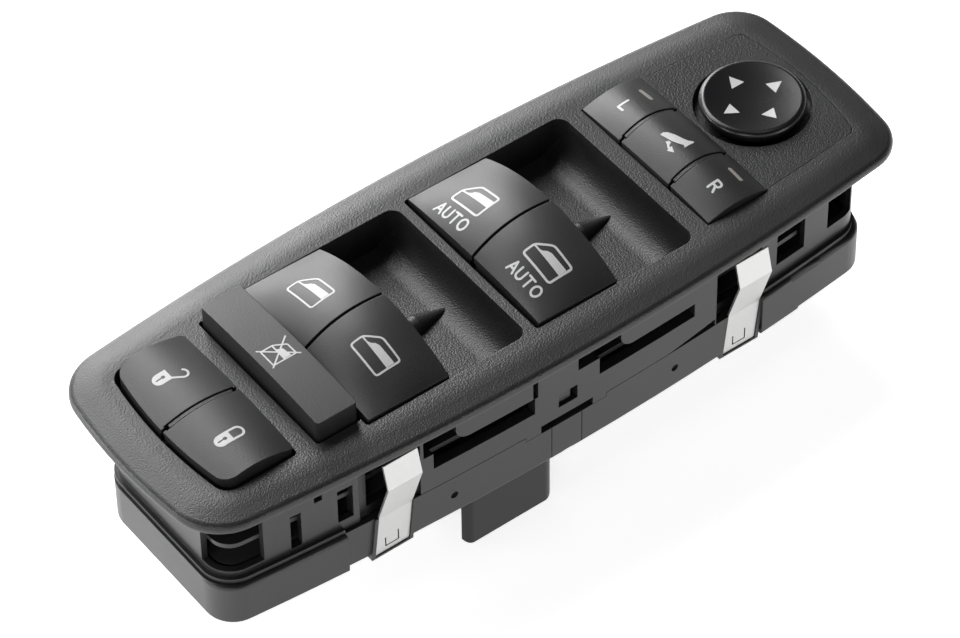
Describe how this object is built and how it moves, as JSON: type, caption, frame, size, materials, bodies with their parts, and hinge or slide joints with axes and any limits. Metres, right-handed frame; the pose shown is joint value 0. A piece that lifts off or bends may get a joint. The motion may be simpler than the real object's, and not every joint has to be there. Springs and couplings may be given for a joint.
{
  "type": "power window switch",
  "caption": "Driver's door switch panel: long face panel with door lock keys, a lockout bar, rocking window keys in finger wells, mirror keys and a mirror pad, on a clipped housing.",
  "frame": {"origin": "middle of the face panel's outline, at the level of its lip's underside, the plane that lies on the door trim", "axes": "+X along the panel from the door lock keys to the mirror pad, +Z out of the face, -Y the long side with the connector"},
  "size_m": [0.2288, 0.081, 0.0654],
  "materials": {
    "panel_plastic": "fine satin grain",
    "body_plastic": "plain matt moulding",
    "connector_plastic": "smooth satin moulding",
    "key_plastic": "soft satin with a light grain",
    "pad_plastic": "smooth satin",
    "gimbal_plastic": "natural acetal",
    "lens_plastic": "clear amber indicator lens, unlit",
    "board_laminate": "green solder mask",
    "chip_plastic": "black moulded package",
    "silicone": "grey silicone",
    "pin_metal": "tin plated",
    "spring_steel": "drawn wire",
    "shaft_steel": "ground bar",
    "clip_steel": "bright sheet"
  },
  "bodies": {
    "housing": {"bezel": "panel_plastic", "mirror_plate": "panel_plastic", "upper_body": "body_plastic", "base_tray": "body_plastic", "circuit_board": "board_laminate", "control_chip": "chip_plastic", "contact_mat": "silicone", "connector_shroud": "connector_plastic", "connector_pins": "pin_metal", "lockout_spring": "spring_steel", "rear_hinge_pin": "shaft_steel", "front_hinge_pin": "shaft_steel", "near_left_clip": "clip_steel", "far_left_clip": "clip_steel", "near_right_clip": "clip_steel", "far_right_clip": "clip_steel"},
    "unlock_key": {"unlock_key": "key_plastic"},
    "lock_key": {"lock_key": "key_plastic"},
    "lockout_bar": {"lockout_bar": "key_plastic"},
    "mirror_left_key": {"mirror_left_key": "key_plastic", "left_indicator": "lens_plastic"},
    "mirror_fold_key": {"mirror_fold_key": "key_plastic"},
    "mirror_right_key": {"mirror_right_key": "key_plastic", "right_indicator": "lens_plastic"},
    "mirror_gimbal": {"mirror_gimbal": "gimbal_plastic"},
    "mirror_pad": {"mirror_pad": "pad_plastic"},
    "rear_left_window_key": {"rear_left_window_key": "key_plastic"},
    "rear_right_window_key": {"rear_right_window_key": "key_plastic"},
    "front_left_window_key": {"front_left_window_key": "key_plastic"},
    "front_right_window_key": {"front_right_window_key": "key_plastic"}
  },
  "joints": [
    {"name": "unlock_press", "type": "slide", "parent": "housing", "child": "unlock_key", "axis": [0, 0, -1], "range_m": [0, 0.0012], "stiffness_N_per_m": 2000},
    {"name": "lock_press", "type": "slide", "parent": "housing", "child": "lock_key", "axis": [0, 0, -1], "range_m": [0, 0.0012], "stiffness_N_per_m": 2000},
    {"name": "lockout_press", "type": "slide", "parent": "housing", "child": "lockout_bar", "axis": [0, 0, -1], "range_m": [0, 0.0025], "stiffness_N_per_m": 1600, "deforming": ["lockout_spring"]},
    {"name": "mirror_left_press", "type": "slide", "parent": "housing", "child": "mirror_left_key", "axis": [0, 0, -1], "range_m": [0, 0.001], "stiffness_N_per_m": 2000},
    {"name": "mirror_fold_press", "type": "slide", "parent": "housing", "child": "mirror_fold_key", "axis": [0, 0, -1], "range_m": [0, 0.001], "stiffness_N_per_m": 2000},
    {"name": "mirror_right_press", "type": "slide", "parent": "housing", "child": "mirror_right_key", "axis": [0, 0, -1], "range_m": [0, 0.001], "stiffness_N_per_m": 2000},
    {"name": "rear_left_window_rock", "type": "hinge", "parent": "housing", "child": "rear_left_window_key", "pos_m": [-0.0495, 0, -0.0025], "axis": [0, 1, 0], "range_deg": [-5.5, 5.5], "stiffness_Nm_per_rad": 0.5},
    {"name": "rear_right_window_rock", "type": "hinge", "parent": "housing", "child": "rear_right_window_key", "pos_m": [-0.0495, 0, -0.0025], "axis": [0, 1, 0], "range_deg": [-5.5, 5.5], "stiffness_Nm_per_rad": 0.5},
    {"name": "front_left_window_rock", "type": "hinge", "parent": "housing", "child": "front_left_window_key", "pos_m": [0.004, 0, -0.0025], "axis": [0, 1, 0], "range_deg": [-5.5, 5.5], "stiffness_Nm_per_rad": 0.5},
    {"name": "front_right_window_rock", "type": "hinge", "parent": "housing", "child": "front_right_window_key", "pos_m": [0.004, 0, -0.0025], "axis": [0, 1, 0], "range_deg": [-5.5, 5.5], "stiffness_Nm_per_rad": 0.5},
    {"name": "pad_tilt_up_down", "type": "hinge", "parent": "housing", "child": "mirror_gimbal", "pos_m": [0.088, 0.0006, -0.003], "axis": [1, 0, 0], "range_deg": [-4, 4], "stiffness_Nm_per_rad": 0.3},
    {"name": "pad_tilt_sideways", "type": "hinge", "parent": "mirror_gimbal", "child": "mirror_pad", "pos_m": [0.088, 0.0006, -0.003], "axis": [0, 1, 0], "range_deg": [-4, 4], "stiffness_Nm_per_rad": 0.3}
  ]
}
